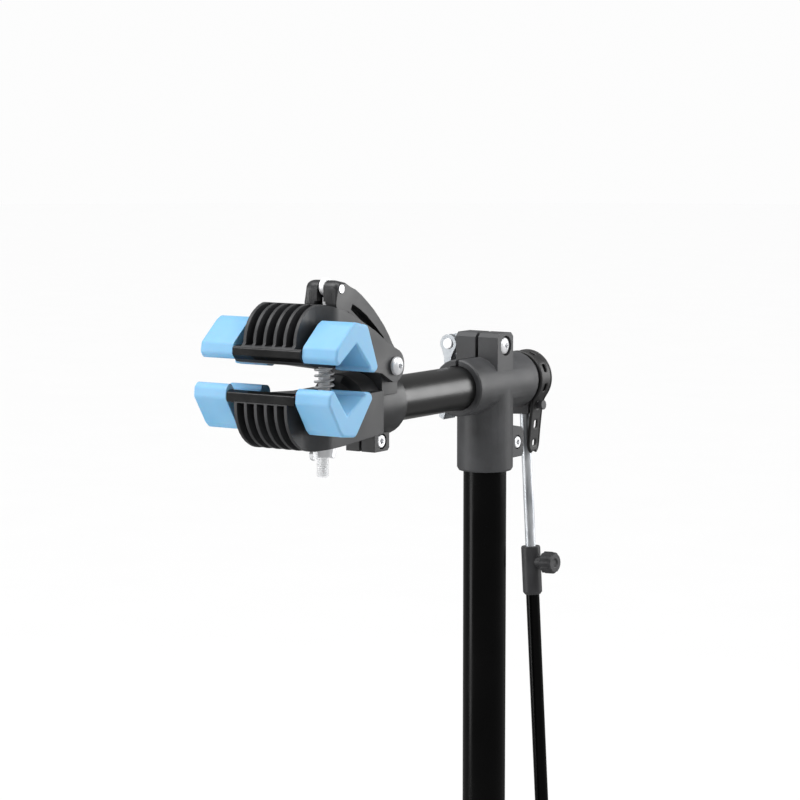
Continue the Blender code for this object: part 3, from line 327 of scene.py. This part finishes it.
def rounded(outline, outer_radius, inner_radius, steps=5):
    """Outline in a plane with its corners turned into arcs."""
    count = len(outline)
    area = sum(outline[k - 1].x * outline[k].y - outline[k].x * outline[k - 1].y for k in range(count))
    made = []
    for k, corner in enumerate(outline):
        before = outline[k - 1] - corner
        after = outline[(k + 1) % count] - corner
        turn = before.angle(after)
        convex = before.cross(after) * area < 0
        radius = outer_radius if convex else inner_radius
        reach = min(radius / math.tan(turn / 2), 0.45 * before.length, 0.45 * after.length)
        first = corner + before.normalized() * reach
        last = corner + after.normalized() * reach
        for step in range(steps + 1):
            t = step / steps
            made.append(first * (1 - t) ** 2 + corner * 2 * t * (1 - t) + last * t ** 2)
    return made


def welded(node):
    """Copy of a CAD node's mesh with its flat faces whole again."""
    bm = bmesh.new()
    bm.from_mesh(NODES[node].data)
    bmesh.ops.remove_doubles(bm, verts=bm.verts, dist=WELD_GAP)
    bmesh.ops.dissolve_limit(bm, angle_limit=FLAT_ANGLE, verts=bm.verts, edges=bm.edges)
    return bm


def refined(node, finish=None):
    """The CAD shape with whole faces, smooth rounds and softened edges."""
    return piece_from(welded(node), node + "_shape", node, finish or SLOT_OF[node])


# ---------------------------------------------------------------- tubes, rods and fasteners

def tube(node, start, end, outer, inner, finish=None):
    """Tube with lips rolled in at both ends."""
    length = (end - start).length
    lip = 0.5 * MM
    rings = [(0, inner), (0, outer - lip), (lip, outer), (length - lip, outer), (length, outer - lip),
             (length, inner)]
    bm = bmesh.new()
    lathe(bm, rings, start, end - start, hollow=True, segments=96)
    return piece_from(bm, node + "_tube", node, finish or SLOT_OF[node])


def build_tubes():
    """Arm, both mast tubes and the black tube of the handlebar holder."""
    low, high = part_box("arm_tube")
    radius = (high.x - low.x) / 2
    # The arm takes the lighter satin copy of the black coat: painted light.
    tube("arm_tube", Vector((0, low.y, HEAD.z)), Vector((0, high.y, HEAD.z)), radius, radius - TUBE_WALL,
         "satin_lit_black")
    for node, wall in (("upper_mast", TUBE_WALL), ("lower_mast", LOWER_MAST_WALL)):
        low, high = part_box(node)
        radius = (high.x - low.x) / 2
        tube(node, Vector((0, 0, low.z)), Vector((0, 0, high.z)), radius, radius - wall)
    low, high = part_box("bar_tube")
    radius = (high.y - low.y) / 2
    top = (BAR_TOP.z - high.z) / -BAR_LINE.z
    bottom = (BAR_TOP.z - low.z) / -BAR_LINE.z
    tube("bar_tube", BAR_TOP + BAR_LINE * top, BAR_TOP + BAR_LINE * bottom, radius, radius - BAR_TUBE_WALL)


def threaded(start, stop, radius):
    """Rings of a screw thread between two distances, as radius functions of the angle."""
    rings = []
    step = THREAD_PITCH / 6
    for index in range(int((stop - start) / step) + 1):
        along = start + index * step

        def crest(angle, along=along):
            phase = (along / THREAD_PITCH - angle / math.tau) % 1
            return radius - THREAD_DEPTH * abs(2 * phase - 1)

        rings.append((along, crest))
    return rings


def build_rods():
    """Threaded clamp rod with its eye, and the drawn rod of the handlebar holder."""
    low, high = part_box("clamp_rod")
    end = (CAM_PIN.z - low.z) / -ROD_LINE.z
    edge = 0.5 * MM
    bm = bmesh.new()
    neck = [(6 * MM, ROD_NECK_R), (20 * MM, ROD_NECK_R)]
    thread = threaded(22 * MM, end - 0.8 * MM, ROD_R)
    lathe(bm, neck + thread + [(end, ROD_R - 1.2 * MM)], CAM_PIN, ROD_LINE, segments=48)
    eye_centre = Vector((0, CAM_PIN.y + 0.5 * MM, high.z - ROD_EYE_R))
    eye_rings = [(-ROD_EYE_HALF, PIN_ROOM_R), (-ROD_EYE_HALF, ROD_EYE_R - edge),
                 (-ROD_EYE_HALF + edge, ROD_EYE_R), (ROD_EYE_HALF - edge, ROD_EYE_R),
                 (ROD_EYE_HALF, ROD_EYE_R - edge), (ROD_EYE_HALF, PIN_ROOM_R)]
    lathe(bm, eye_rings, eye_centre, (1, 0, 0), hollow=True)
    # The clamp rod takes the lighter zinc copy: painted light.
    piece_from(bm, "clamp_rod_threaded", "clamp_rod", "painted_lit_zinc")

    low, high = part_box("bar_rod")
    radius = (high.y - low.y) / 2
    length = (high.z - low.z) / -BAR_LINE.z
    bm = bmesh.new()
    lathe(bm, [(0, radius - 0.6 * MM), (0.6 * MM, radius), (length - 1 * MM, radius),
               (length, radius - 0.8 * MM)], BAR_TOP, BAR_LINE)
    piece_from(bm, "bar_rod_drawn", "bar_rod", "dull_zinc")


def build_spring():
    """Round wire wound about the rod. It tilts with the rod and stays down on the lower jaw."""
    low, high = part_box("clamp_spring")
    wire_r = 0.8 * MM
    coil_r = (high.x - low.x) / 2 - wire_r
    turns = 5
    per_turn = 32
    top = (CAM_PIN.z - high.z) / -ROD_LINE.z + wire_r
    bottom = (CAM_PIN.z - low.z) / -ROD_LINE.z - wire_r
    place = frame_along(CAM_PIN, ROD_LINE)
    path = []
    for step in range(turns * per_turn + 1):
        share = step / (turns * per_turn)
        angle = math.tau * turns * share
        path.append(place @ Vector((coil_r * math.cos(angle), coil_r * math.sin(angle),
                                    top + (bottom - top) * share)))
    bm = bmesh.new()
    sweep(bm, path, wire_r)
    # The spring wire takes the lighter zinc copy: painted light.
    piece_from(bm, "clamp_spring_wire", "clamp_spring", "painted_lit_zinc", body=BODY_OF["rocker_washer"])


def socket_head(bm, start, direction, shank_r, length, head_r, head_height):
    """Bolt with a domed head and a hexagon socket sunk in it."""
    socket_r = head_r * 0.36
    straight = 0.45

    def hexagon(angle):
        return socket_r * math.cos(math.pi / 6) / math.cos(angle % (math.pi / 3) - math.pi / 6)

    rings = [(0, shank_r - 0.4 * MM), (0.4 * MM, shank_r), (length, shank_r), (length, head_r - 0.3 * MM),
             (length + 0.3 * MM, head_r), (length + head_height * straight, head_r)]
    for degrees in (15, 30, 45, 58):
        t = math.radians(degrees)
        rings.append((length + head_height * (straight + (1 - straight) * math.sin(t)), head_r * math.cos(t)))
    rings += [(length + head_height, hexagon), (length + head_height * 0.35, hexagon)]
    lathe(bm, rings, start, direction, segments=48)


def build_bolts():
    """Cam bolts with an eye for their pin, and the jaws' hinge bolt."""
    head_height = 4 * MM
    shank_r = 3 * MM
    eye_half = 3.2 * MM
    eye_in = 2.6 * MM
    eye_out = 5.2 * MM
    for node, joint, side in (("tee_bolt", "tee_lever_turn", 1), ("mast_bolt", "mast_lever_turn", -1)):
        pin = pivot(joint)
        low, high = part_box(node)
        length = abs((high.x if side > 0 else low.x) - pin.x) - head_height
        bm = bmesh.new()
        socket_head(bm, pin, (side, 0, 0), shank_r, length, BOLT_HEAD_R, head_height)
        eye = [(-eye_half, eye_in), (-eye_half, eye_out), (eye_half, eye_out), (eye_half, eye_in)]
        lathe(bm, eye, pin, (0, 1, 0), hollow=True)
        piece_from(bm, node + "_domed", node, "zinc")
    hinge = pivot("jaw_open")
    low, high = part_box("jaw_hinge_bolt")
    head_height = 4.2 * MM
    shank_r = 3.2 * MM
    length = high.x - low.x - head_height
    bm = bmesh.new()
    socket_head(bm, Vector((low.x, hinge.y, hinge.z)), (1, 0, 0), shank_r, length, BOLT_HEAD_R, head_height)
    piece_from(bm, "jaw_hinge_bolt_domed", "jaw_hinge_bolt", "zinc")


def build_pin_heads():
    """Broad round head on each side of the quick-release levers' pins."""
    for prefix in ("tee", "mast"):
        node = prefix + "_cam_pin"
        low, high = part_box(node)
        pin = pivot(prefix + "_lever_turn")
        half = (high.y - low.y) / 2
        bm = bmesh.new()
        lathe(bm, [(-half - 0.4 * MM, 3 * MM), (-half, 3.8 * MM), (-half + 0.5 * MM, 4 * MM),
                   (-half + 0.7 * MM, 2.2 * MM), (half - 0.7 * MM, 2.2 * MM), (half - 0.5 * MM, 4 * MM),
                   (half, 3.8 * MM), (half + 0.4 * MM, 3 * MM)], pin, (0, 1, 0))
        piece_from(bm, node + "_headed", node, "zinc")


def build_thumbscrew():
    """Fluted plastic thumbscrew of the telescoping bar."""
    base = pivot("bar_screw_turn")

    def fluted(radius, depth):
        return lambda angle: radius - depth * (0.5 - 0.5 * math.cos(12 * angle))

    rings = [(4.4 * MM, 2.2 * MM), (4.8 * MM, 2.4 * MM), (12 * MM, 2.4 * MM), (12 * MM, 6.8 * MM),
             (13 * MM, fluted(8.4 * MM, 0.7 * MM)), (14 * MM, fluted(8.4 * MM, 0.9 * MM)),
             (20 * MM, fluted(8.4 * MM, 0.9 * MM)), (21.4 * MM, fluted(8 * MM, 0.6 * MM)),
             (22.4 * MM, 6.8 * MM), (22.4 * MM, 3.4 * MM), (21.4 * MM, 2.4 * MM)]
    bm = bmesh.new()
    lathe(bm, rings, base, line_of("bar_screw_turn"), segments=96)
    piece_from(bm, "bar_thumbscrew", "bar_screw", "black_plastic")


# ---------------------------------------------------------------- clamp head

def end_outline(node, side):
    """Outline in YZ of a pad's outer end face."""
    bm = welded(node)
    face = max(bm.faces, key=lambda f: (round(side * f.calc_center_median().x, 5), f.calc_area()))
    outline = [Vector((v.co.y, v.co.z)) for v in face.verts]
    bm.free()
    return outline


def build_pads():
    """Soft blocks with well rounded corners and outer ends."""
    for level in ("upper", "lower"):
        for word, side in (("left", -1), ("right", 1)):
            node = "pad_" + level + "_" + word
            low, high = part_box(node)
            outline = rounded(end_outline(node, side), 4.2 * MM, 0.8 * MM)
            inner, outer = (low.x, high.x) if side > 0 else (high.x, low.x)
            bm = bmesh.new()
            near = [bm.verts.new((inner, p.x, p.y)) for p in outline]
            far = [bm.verts.new((outer, p.x, p.y)) for p in outline]
            bm.faces.new(near[::-1])
            end = bm.faces.new(far)
            for k in range(len(outline)):
                bm.faces.new((near[k - 1], near[k], far[k], far[k - 1]))
            bmesh.ops.recalc_face_normals(bm, faces=bm.faces)
            bmesh.ops.bevel(bm, geom=end.edges[:], offset=1.7 * MM, segments=5, profile=0.5, affect="EDGES")
            piece_from(bm, node + "_block", node, "blue_rubber")


def build_cam_lever():
    """Forked cam lever, its head rounded off toward both sides."""
    low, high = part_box("cam_lever")
    round_x = 6 * MM
    round_in = 2.6 * MM
    cuts = 7
    pin_hole_r = 3.8 * MM
    foot = -9.5 * MM
    front_skin = 0.5 * MM
    fade_from = CAM_PIN.y + 6 * MM
    fade_to = CAM_PIN.y + 22 * MM
    bm = welded("cam_lever")
    for side in (-1, 1):
        for step in range(cuts):
            at = side * (high.x - round_x * (1 - math.sin(math.pi / 2 * step / cuts)))
            bmesh.ops.bisect_plane(bm, geom=bm.verts[:] + bm.edges[:] + bm.faces[:], dist=0.001 * MM,
                                   plane_co=(at, 0, 0), plane_no=(1, 0, 0))
    for vert in bm.verts:
        out = (abs(vert.co.x) - (high.x - round_x)) / round_x
        from_pin = Vector((vert.co.y - CAM_PIN.y, vert.co.z - CAM_PIN.z))
        if out <= 0 or from_pin.length < pin_hole_r or from_pin.y < foot:
            continue
        depth = round_in * (1 - math.sqrt(max(0, 1 - out * out)))
        depth *= 1 - min(max((vert.co.y - fade_from) / (fade_to - fade_from), 0), 1)
        inward = -from_pin.normalized() if vert.co.z > CAM_PIN.z else Vector((1, 0))
        if vert.co.z > CAM_PIN.z or vert.co.y < low.y + front_skin:
            vert.co.y += depth * inward.x
            vert.co.z += depth * inward.y
    piece_from(bm, "cam_lever_rounded", "cam_lever", SLOT_OF["cam_lever"])


def build_lever_ribs():
    """Fine upright ribs on the front of the cam lever's fork, either side of its slot."""
    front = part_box("cam_lever")[0].y
    rib_half = 0.35 * MM
    for word, side in (("left", -1), ("right", 1)):
        bm = bmesh.new()
        for place in (4.4, 5.9, 7.4, 8.9):
            lathe(bm, [(0, 0.2 * MM), (0.6 * MM, rib_half), (7.4 * MM, rib_half), (8 * MM, 0.2 * MM)],
                  (side * place * MM, front + 0.3 * MM, CAM_PIN.z - 10 * MM), (0, 0, 1), segments=12)
        piece_from(bm, "cam_lever_ribs_" + word, "cam_lever", "dark_plastic", slot="dark_plastic")


def build_lips():
    """Polished bar along the mouth edge of each jaw, between the pads."""
    half_x = 27.4 * MM
    upper = [(-269, 36.6), (-273.7, 41.6), (-273.7, 46.4), (-269, 47.8), (-262, 47.8), (-262, 35.3)]
    lower = [(-276.3, 18.9), (-280.3, 17.1), (-280.2, 10.6), (-275, 10.4), (-262, 10.4), (-262, 14.7)]
    for node, profile in (("upper_jaw", upper), ("lower_jaw", lower)):
        outline = rounded([Vector((y * MM, z * MM)) for y, z in profile], 1.8 * MM, 1 * MM)
        bm = bmesh.new()
        near = [bm.verts.new((-half_x, p.x, HEAD.z + p.y)) for p in outline]
        far = [bm.verts.new((half_x, p.x, HEAD.z + p.y)) for p in outline]
        bm.faces.new(near[::-1])
        bm.faces.new(far)
        for k in range(len(outline)):
            bm.faces.new((near[k - 1], near[k], far[k], far[k - 1]))
        piece_from(bm, node + "_lip", node, "lip_plastic", slot="dark_plastic")


# ---------------------------------------------------------------- straps

def strap_middle(seat_r, post_r):
    """Middle line in XZ about the tube's centre: up the left, over the tube, down the right."""
    ring_r = seat_r + STRAP_GAP + STRAP_T / 2
    side_x = SADDLE_HALF_X + STRAP_GAP + STRAP_T / 2
    least_x = post_r + 2 * STRAP_GAP + STRAP_T / 2
    tail = [(12.8, 2.6), (10.9, -2.2), (9.6, -8.7), (7.4, -22), (6, -32), (5.5, -39)]
    wrap_from = 218
    wrap_turn = 256
    wrap_steps = 40
    points = [Vector((-side_x, -seat_r - 7 * MM)), Vector((-side_x - 1.4 * MM, -seat_r - 2 * MM)),
              Vector((-12.8 * MM, -seat_r + 2.6 * MM))]
    for step in range(wrap_steps + 1):
        angle = math.radians(wrap_from - wrap_turn * step / wrap_steps)
        points.append(Vector((ring_r * math.cos(angle), ring_r * math.sin(angle))))
    return points + [Vector((max(x * MM, least_x), -seat_r + rise * MM)) for x, rise in tail]


def evenly(points, step):
    """Points a fixed step apart along a path."""
    made = [points[0].copy()]
    left = step
    for near, far in zip(points, points[1:]):
        length = (far - near).length
        while left <= length:
            made.append(near.lerp(far, left / length))
            left += step
        left -= length
    return made


def strap_width_share(rows_left):
    """Share of the strap's width left, this many rows before its rounded free end."""
    reach = min(1, (rows_left + 0.6) * STRAP_STEP / STRAP_HALF_WIDTH)
    return math.sqrt(1 - (1 - reach) ** 2)


def build_strap(node, seat_r, post_r, place):
    """Perforated rubber strap with a raised rim along both edges."""
    path = evenly(strap_middle(seat_r, post_r), STRAP_STEP)
    bm = bmesh.new()
    grid = []
    for row, p in enumerate(path):
        narrow = strap_width_share(len(path) - 1 - row)
        grid.append([bm.verts.new(place @ Vector((p.x, v * MM * narrow, p.y))) for v in STRAP_COLUMNS])
    for row in range(len(path) - 1):
        hole_row = row % STRAP_HOLE_PITCH - STRAP_HOLE_FIRST
        in_hole = 0 <= hole_row < STRAP_HOLE_LENGTH and row < len(path) - STRAP_WHOLE_ROWS
        for col in range(len(STRAP_COLUMNS) - 1):
            if in_hole and col == STRAP_HOLE_COLUMN:
                continue
            bm.faces.new((grid[row][col], grid[row][col + 1], grid[row + 1][col + 1], grid[row + 1][col]))
    piece = piece_from(bm, node + "_band", node, "black_rubber")
    body = piece.modifiers.new("thickness", "SOLIDIFY")
    body.thickness = STRAP_T - 0.4 * MM
    body.offset = 0
    smooth = piece.modifiers.new("soft_edges", "SUBSURF")
    smooth.levels = 2
    smooth.render_levels = 2
    for word, side in (("front", -1), ("rear", 1)):
        bm = bmesh.new()
        edge = side * (STRAP_HALF_WIDTH - STRAP_RIM_R)
        rim = [place @ Vector((p.x, edge * strap_width_share(len(path) - 1 - row), p.y))
               for row, p in enumerate(path)]
        sweep(bm, rim, STRAP_RIM_R)
        piece_from(bm, node + "_rim_" + word, node, "black_rubber", slot="black_rubber")


def build_straps():
    """One strap round the T, and one upside down at the far end of the bar."""
    lean = Matrix.Rotation(-BAR_LEAN, 4, "Y")
    top = Matrix.Translation((0, BAR_TOP.y, HEAD.z)) @ lean
    end = top @ Matrix.Translation((0, 0, -BAR_DROP)) @ Matrix.Rotation(math.pi, 4, "Y")
    build_strap("bar_strap", TEE_SEAT_R, BAR_ROD_POST_R, top)
    build_strap("bar_end_strap", END_SEAT_R, BAR_TUBE_POST_R, end)


# ---------------------------------------------------------------- stage

def build_stage():
    """Pale floor, left out of reflections so that the black parts stay black."""
    bm = bmesh.new()
    bmesh.ops.create_circle(bm, cap_ends=True, segments=96, radius=FLOOR_R)
    mesh = bpy.data.meshes.new("floor")
    bm.to_mesh(mesh)
    bm.free()
    floor = bpy.data.objects.new("floor", mesh)
    floor.location.z = -FLOOR_DROP
    floor.visible_glossy = False
    bpy.context.scene.collection.objects.link(floor)
    material, tree, shader, at = node_material("pale_floor")
    tree.links.new(mixed(tree, noise(tree, at, 3, 3), (0.965, 0.965, 0.965), (0.985, 0.985, 0.985)),
                   shader.inputs["Base Color"])
    shader.inputs["Roughness"].default_value = 0.9
    mesh.materials.append(material)


def area_light(name, place, aim, size, power):
    """Rectangular softbox turned toward a point."""
    light = bpy.data.lights.new(name, "AREA")
    light.shape = "RECTANGLE"
    light.size, light.size_y = size
    light.energy = power
    lamp = bpy.data.objects.new(name, light)
    lamp.location = place
    lamp.rotation_euler = (Vector(aim) - Vector(place)).to_track_quat("-Z", "Y").to_euler()
    bpy.context.scene.collection.objects.link(lamp)


def build_light():
    """White surround behind the stand, soft sun on the floor and four softboxes on the head."""
    scene = bpy.context.scene
    world = bpy.data.worlds.new("studio")
    world.use_nodes = True
    tree = world.node_tree
    dim = tree.nodes["Background"]
    dim.inputs["Strength"].default_value = 0.32
    dim.inputs["Color"].default_value = (1, 1, 1, 1)
    backdrop = tree.nodes.new("ShaderNodeBackground")
    backdrop.inputs["Color"].default_value = (0.98, 0.98, 0.98, 1)
    path = tree.nodes.new("ShaderNodeLightPath")
    mix = tree.nodes.new("ShaderNodeMixShader")
    tree.links.new(path.outputs["Is Camera Ray"], mix.inputs["Fac"])
    tree.links.new(dim.outputs["Background"], mix.inputs[1])
    tree.links.new(backdrop.outputs["Background"], mix.inputs[2])
    tree.links.new(mix.outputs["Shader"], tree.nodes["World Output"].inputs["Surface"])
    scene.world = world
    scene.view_settings.view_transform = "Standard"
    sun = bpy.data.lights.new("soft_sun", "SUN")
    sun.energy = 2.6
    sun.angle = math.radians(40)
    lamp = bpy.data.objects.new("soft_sun", sun)
    lamp.rotation_euler = Vector((0.35, 0.45, -1)).to_track_quat("-Z", "Y").to_euler()
    scene.collection.objects.link(lamp)
    aim = (0, -0.1, HEAD.z)
    area_light("key_front", (-0.45, -2.1, 2.0), aim, (0.8, 1.1), 9)
    area_light("left_fill", (-1.25, -1.15, 1.3), aim, (0.4, 1.2), 11)
    area_light("overhead_strip", (0.55, -0.1, 2.3), aim, (0.3, 1.6), 12)
    area_light("rear_right_band", (0.95, 1.25, 1.6), aim, (0.9, 0.9), 14)


def build_camera():
    """Long lens from the front right, a little above the arm."""
    azimuth = math.radians(33.5)
    pitch = math.radians(6.3)
    level = Vector((-math.sin(azimuth), math.cos(azimuth), 0))
    look = level * math.cos(pitch) - Vector((0, 0, math.sin(pitch)))
    camera = bpy.data.cameras.new("camera")
    camera.lens = 121.5
    camera.sensor_width = 36
    stand = bpy.data.objects.new("camera", camera)
    stand.location = (1.0453, -1.6936, 1.5574)
    stand.rotation_euler = look.to_track_quat("-Z", "Y").to_euler()
    bpy.context.scene.collection.objects.link(stand)
    bpy.context.scene.camera = stand


# ---------------------------------------------------------------- whole scene

FINISHES = make_finishes()
FINISH_OF = {"tee_body": "tee_plastic"}

build_camera()
build_light()
build_stage()
build_tubes()
build_rods()
build_spring()
build_bolts()
build_pin_heads()
build_thumbscrew()
build_pads()
build_cam_lever()
build_lever_ribs()
build_lips()
build_straps()
for name, node in NODES.items():
    if not node.hide_render:
        refined(name, FINISH_OF.get(name))
